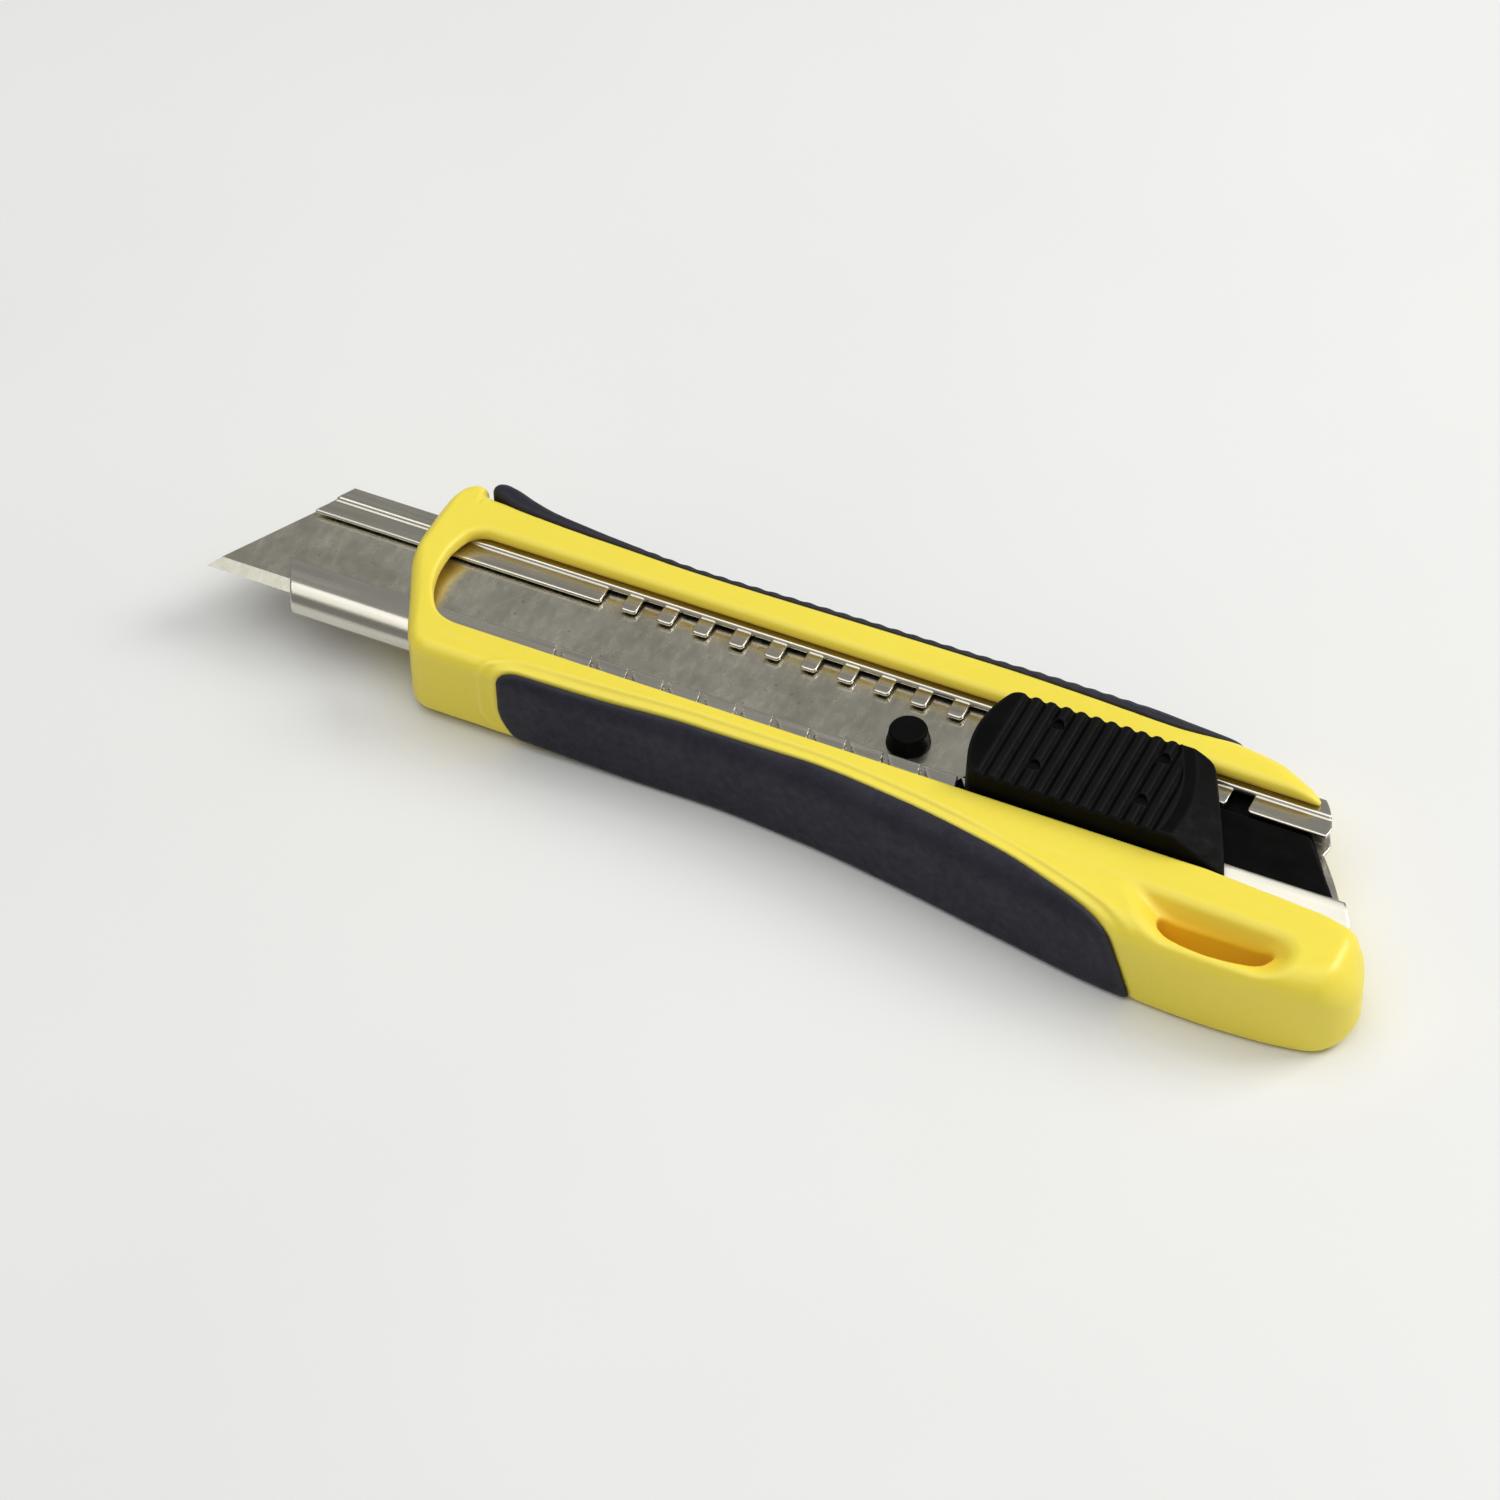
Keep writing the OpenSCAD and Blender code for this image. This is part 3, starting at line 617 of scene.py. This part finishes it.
# ---------------------------------------------------------------- materials
def shader(name, rough, metal=0.0):
    """New material, its node tree and its Principled shader."""
    material = bpy.data.materials.new(name)
    material.use_nodes = True
    tree = material.node_tree
    bsdf = tree.nodes["Principled BSDF"]
    bsdf.inputs["Roughness"].default_value = rough
    bsdf.inputs["Metallic"].default_value = metal
    return material, tree, bsdf


def node(tree, kind, **values):
    """New node, with values for its sockets or its own settings."""
    new = tree.nodes.new(kind)
    for key, value in values.items():
        if key in new.inputs:
            new.inputs[key].default_value = value
        else:
            setattr(new, key, value)
    return new


def grain(tree, scale, detail=4.0, stretch=(1, 1, 1), rough=0.5):
    """Noise in object space, in features per millimetre, stretched along the axes."""
    place = node(tree, "ShaderNodeTexCoord")
    mapping = node(tree, "ShaderNodeMapping")
    mapping.inputs["Scale"].default_value = [s / MM for s in stretch]
    noise = node(tree, "ShaderNodeTexNoise", Scale=scale, Detail=detail, Roughness=rough)
    tree.links.new(place.outputs["Object"], mapping.inputs["Vector"])
    tree.links.new(mapping.outputs["Vector"], noise.inputs["Vector"])
    return noise.outputs["Fac"]


def ramp(tree, factor, stops):
    """Colour that runs through the stops, each a position and a colour."""
    new = node(tree, "ShaderNodeValToRGB")
    elements = new.color_ramp.elements
    while len(elements) < len(stops):
        elements.new(0.5)
    for element, (position, colour) in zip(elements, stops):
        element.position = position
        element.color = (*colour, 1)
    tree.links.new(factor, new.inputs["Fac"])
    return new.outputs["Color"]


def spread(tree, factor, low, high, low_in=0.3, high_in=0.7):
    """Value from low to high as the factor goes from low_in to high_in."""
    new = node(tree, "ShaderNodeMapRange")
    for key, value in (("From Min", low_in), ("From Max", high_in), ("To Min", low), ("To Max", high)):
        new.inputs[key].default_value = value
    tree.links.new(factor, new.inputs["Value"])
    return new.outputs["Result"]


def mix(tree, factor, first, second):
    """Colour between two colours, each a socket or three numbers."""
    new = node(tree, "ShaderNodeMix", data_type="RGBA")
    for place, value in ((0, factor), (6, first), (7, second)):
        if isinstance(value, bpy.types.NodeSocket):
            tree.links.new(value, new.inputs[place])
        else:
            new.inputs[place].default_value = (*value, 1)
    return new.outputs[2]


def bump(tree, bsdf, height, strength, distance):
    """Relief from a height, with its distance in millimetres."""
    new = node(tree, "ShaderNodeBump", Strength=strength, Distance=distance * MM)
    tree.links.new(height, new.inputs["Height"])
    tree.links.new(new.outputs["Normal"], bsdf.inputs["Normal"])


def edge_sheen(tree):
    """How convex the surface is, 0 to 1, from the mesh's edge attribute; it masks painted highlights."""
    new = node(tree, "ShaderNodeAttribute", attribute_name="edge")
    return spread(tree, new.outputs["Fac"], 0.0, 1.0, 0.15, 0.8)


def hollow_shade(tree):
    """How deep the surface lies below the handle's outer skin, 0 to 1 at 2.4 mm; it masks painted shade.
    """
    new = node(tree, "ShaderNodeAttribute", attribute_name="deep")
    return spread(tree, new.outputs["Fac"], 0.0, 1.0, 0.2, 2.4)


def yellow_plastic():
    """Glossy yellow moulding, with painted highlights paler on its edges and painted orange shade in its
    hollows.
    """
    material, tree, bsdf = shader("yellow_plastic", 0.38)
    tone = ramp(tree, grain(tree, 0.035, 3), [(0.3, (0.875, 0.72, 0.06)), (0.7, (0.92, 0.765, 0.075))])
    colour = mix(tree, spread(tree, grain(tree, 0.9, 5), 0.0, 0.10), tone, (0.78, 0.62, 0.07))
    # painted highlight: paler yellow on convex edges
    colour = mix(tree, spread(tree, edge_sheen(tree), 0.0, 0.25, 0.0, 1.0), colour, (0.97, 0.84, 0.16))
    # painted shade: orange tint that deepens below the outer skin, in the window walls, scoop and slot
    colour = mix(tree, spread(tree, hollow_shade(tree), 0.0, 0.85, 0.0, 1.0), colour, (0.93, 0.58, 0.03))
    tree.links.new(colour, bsdf.inputs["Base Color"])
    tree.links.new(spread(tree, grain(tree, 0.5, 6), 0.30, 0.46), bsdf.inputs["Roughness"])
    bump(tree, bsdf, grain(tree, 2.2, 4), 0.10, 0.05)
    bsdf.inputs["Subsurface Weight"].default_value = 0.12
    bsdf.inputs["Subsurface Radius"].default_value = (1.0, 0.6, 0.1)
    bsdf.inputs["Subsurface Scale"].default_value = 1.2 * MM
    return material


def grip_rubber():
    """Dark blue-grey soft plastic, finely grained and faintly dusty, with painted highlights on its edges.
    """
    material, tree, bsdf = shader("grip_rubber", 0.6)
    tone = ramp(tree, grain(tree, 0.12, 5), [(0.35, (0.010, 0.009, 0.020)), (0.65, (0.018, 0.017, 0.028))])
    dusty = spread(tree, grain(tree, 1.1, 6, rough=0.7), 0.0, 0.6, 0.45, 0.75)
    colour = mix(tree, dusty, tone, (0.028, 0.028, 0.036))
    # painted highlight: lighter on convex edges
    colour = mix(tree, spread(tree, edge_sheen(tree), 0.0, 0.5, 0.0, 1.0), colour, (0.038, 0.038, 0.046))
    tree.links.new(colour, bsdf.inputs["Base Color"])
    tree.links.new(spread(tree, grain(tree, 0.8, 5), 0.50, 0.72), bsdf.inputs["Roughness"])
    bsdf.inputs["Specular IOR Level"].default_value = 0.3
    bump(tree, bsdf, grain(tree, 1.6, 7, rough=0.65), 0.45, 0.12)
    return material


def channel_steel():
    """Rolled sheet, drawn along the knife, with painted highlights bright on its folds."""
    material, tree, bsdf = shader("channel_steel", 0.22, 1.0)
    rolled = grain(tree, 1.0, 4, (0.04, 1.2, 1.2))
    tone = ramp(tree, grain(tree, 0.06, 4), [(0.35, (0.50, 0.475, 0.40)), (0.65, (0.60, 0.57, 0.48))])
    colour = mix(tree, spread(tree, rolled, 0.0, 0.35), tone, (0.42, 0.40, 0.34))
    # painted highlight: near-white colour on the convex folds and lip edges
    colour = mix(tree, spread(tree, edge_sheen(tree), 0.0, 0.35, 0.0, 1.0), colour, (0.90, 0.88, 0.82))
    tree.links.new(colour, bsdf.inputs["Base Color"])
    tree.links.new(spread(tree, rolled, 0.18, 0.32), bsdf.inputs["Roughness"])
    bump(tree, bsdf, rolled, 0.08, 0.04)
    return material


def blade_steel():
    """Ground, oiled steel with dark specks, and the bevel along the cutting edge painted brighter as a
    highlight.
    """
    material, tree, bsdf = shader("blade_steel", 0.4, 1.0)
    ground = grain(tree, 0.8, 5, (1.3, 0.5, 1.0), 0.65)
    blots = grain(tree, 0.16, 6, rough=0.6)
    tone = ramp(tree, blots, [(0.38, (0.58, 0.55, 0.46)), (0.60, (0.72, 0.69, 0.58))])
    specks = spread(tree, grain(tree, 1.3, 2), 0.0, 0.5, 0.68, 0.74)
    colour = mix(tree, specks, tone, (0.22, 0.20, 0.16))
    place = node(tree, "ShaderNodeTexCoord")
    xyz = node(tree, "ShaderNodeSeparateXYZ")
    tree.links.new(place.outputs["Object"], xyz.inputs["Vector"])
    bevel_y = (BEVEL_W - ORIGIN[1]) * MM
    # painted highlight: the strip along the cutting edge is given a brighter colour
    bevel_highlight = spread(tree, xyz.outputs["Y"], 1.0, 0.0, bevel_y - 0.1 * MM, bevel_y + 0.1 * MM)
    colour = mix(tree, bevel_highlight, colour, (0.68, 0.66, 0.56))
    tree.links.new(colour, bsdf.inputs["Base Color"])
    tree.links.new(spread(tree, ground, 0.18, 0.30), bsdf.inputs["Roughness"])
    bump(tree, bsdf, ground, 0.03, 0.02)
    return material


def black_plastic():
    """Nearly black, low-gloss moulding, with painted highlights on its convex edges and rib tops."""
    material, tree, bsdf = shader("black_plastic", 0.45)
    tone = ramp(tree, grain(tree, 0.3, 5), [(0.35, (0.002, 0.002, 0.002)), (0.65, (0.004, 0.004, 0.0039))])
    # painted highlight: lighter on convex edges such as the rib tops
    colour = mix(tree, spread(tree, edge_sheen(tree), 0.0, 0.8, 0.0, 1.0), tone, (0.009, 0.009, 0.0088))
    tree.links.new(colour, bsdf.inputs["Base Color"])
    tree.links.new(spread(tree, grain(tree, 0.9, 5), 0.36, 0.55), bsdf.inputs["Roughness"])
    bsdf.inputs["Specular IOR Level"].default_value = 0.04
    bump(tree, bsdf, grain(tree, 2.5, 5), 0.25, 0.06)
    return material


def plain_steel(name, colour, rough):
    """Plated or spring steel of one colour."""
    material, tree, bsdf = shader(name, rough, 1.0)
    darker = tuple(0.6 * c for c in colour)
    tone = mix(tree, spread(tree, grain(tree, 0.6, 5), 0.0, 0.4), colour, darker)
    tree.links.new(tone, bsdf.inputs["Base Color"])
    tree.links.new(spread(tree, grain(tree, 1.5, 4), rough - 0.07, rough + 0.1), bsdf.inputs["Roughness"])
    bump(tree, bsdf, grain(tree, 3.0, 3), 0.1, 0.03)
    return material


def floor_white():
    """Matt white surface under the knife."""
    material, tree, bsdf = shader("floor_white", 0.7)
    tone = ramp(tree, grain(tree, 0.01, 4), [(0.3, (0.80, 0.80, 0.79)), (0.7, (0.83, 0.83, 0.82))])
    tree.links.new(tone, bsdf.inputs["Base Color"])
    bump(tree, bsdf, grain(tree, 0.5, 4), 0.05, 0.05)
    return material


YELLOW, RUBBER, CHANNEL = yellow_plastic(), grip_rubber(), channel_steel()
BLADE, BLACK = blade_steel(), black_plastic()
SPRING = plain_steel("spring_steel", (0.55, 0.55, 0.56), 0.25)
RIVET = plain_steel("rivet_steel", (0.60, 0.60, 0.58), 0.3)

# ---------------------------------------------------------------- pieces
# Each solid is sampled between two corners of a box, with the given steps along x, y and z
moulded("handle_shell", handle_solid, (HANDLE_X[0], -12.8, 0), (HANDLE_X[1], 25.1, 12.9),
        (0.36, 0.36, 0.36), "frame", YELLOW, ["handle_body"], handle_skin)
moulded("near_grip", near_grip_solid, (43.5, -13.1, 0), (137, -1.5, 12.9),
        (0.36, 0.36, 0.36), "frame", RUBBER, ["lower_grip"])
moulded("far_grip", far_grip_solid, (27, 20, 0), (138, 26.6, 12.9),
        (0.34, 0.34, 0.34), "frame", RUBBER, ["upper_grip"])
moulded("steel_channel", channel_solid, (8, WALL_Y[0], FLOOR_Z), (158, WALL_Y[1], 10.4),
        (0.2, 0.16, 0.12), "frame", CHANNEL, ["blade_channel"])
moulded("thumb_pad", cap_solid, (103, 1.2, CAP_Z0), (139.5, 16.6, 15.6),
        (0.17, 0.17, 0.17), "thumb_cap", BLACK, ["slider_cap"])
moulded("blade_carriage", carriage_solid, (87, 1, PLATE_Z[0]), (152, 17.4, LIP_Z + 2),
        (0.3, 0.3, 0.2), "carriage", BLACK, ["slider_carriage"])
turned("drive_pin", pin_profile(), PIN, "carriage", BLACK, ["blade_pin"])

# These keep their CAD shapes and take better materials
kept = {"snap_blade": BLADE, "cap_pegs": BLACK, "lock_spring": SPRING, "spring_rivet": RIVET,
        "channel_rivets": RIVET}
for name, material in kept.items():
    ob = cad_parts[name]
    ob.data.materials.clear()
    ob.data.materials.append(material)

# ---------------------------------------------------------------- stage, light and camera
bpy.ops.mesh.primitive_plane_add(size=4)
floor = bpy.context.object
floor.name = "floor"
floor.data.materials.append(floor_white())

world = bpy.data.worlds.new("studio")
bpy.context.scene.world = world
world.use_nodes = True
world.node_tree.nodes["Background"].inputs["Color"].default_value = (1.0, 1.0, 0.995, 1)
world.node_tree.nodes["Background"].inputs["Strength"].default_value = 0.28


def panel(name, place, size, energy, colour):
    """Soft rectangular light aimed at the knife."""
    light = bpy.data.lights.new(name, "AREA")
    light.size, light.energy, light.color = size, energy, colour
    ob = bpy.data.objects.new(name, light)
    ob.location = place
    ob.rotation_euler = (-Vector(place)).to_track_quat("-Z", "Y").to_euler()
    bpy.context.scene.collection.objects.link(ob)


panel("softbox", place=(0.0, -0.10, 1.1), size=1.4, energy=8.8, colour=(1.0, 1.0, 0.99))
panel("window_light", place=(0.62, 0.52, 0.64), size=0.5, energy=5.2, colour=(1.0, 0.995, 0.98))


def camera(lens, azimuth, elevation, roll, distance, target):
    """Camera at a distance from a target in the knife's frame, seen along azimuth and elevation."""
    a, e, r = (math.radians(v) for v in (azimuth, elevation, roll))
    ahead = Vector((-math.sin(a) * math.cos(e), math.cos(a) * math.cos(e), -math.sin(e)))
    level = Vector((math.cos(a), math.sin(a), 0))
    upright = level.cross(ahead)
    right = math.cos(r) * level + math.sin(r) * upright
    up = math.cos(r) * upright - math.sin(r) * level
    cam = bpy.data.cameras.new("camera")
    cam.sensor_width, cam.lens, cam.clip_start = 36, lens, 0.01
    ob = bpy.data.objects.new("camera", cam)
    ob.matrix_world = Matrix((right, up, -ahead)).transposed().to_4x4()
    ob.matrix_world.translation = (Vector(target) - Vector(ORIGIN)) * MM - ahead * distance * MM
    bpy.context.scene.collection.objects.link(ob)
    bpy.context.scene.camera = ob


camera(lens=131.5, azimuth=26.93, elevation=46.44, roll=-1.97, distance=673.4, target=(77.75, -1.85, 10))
bpy.context.scene.view_settings.view_transform = "Standard"
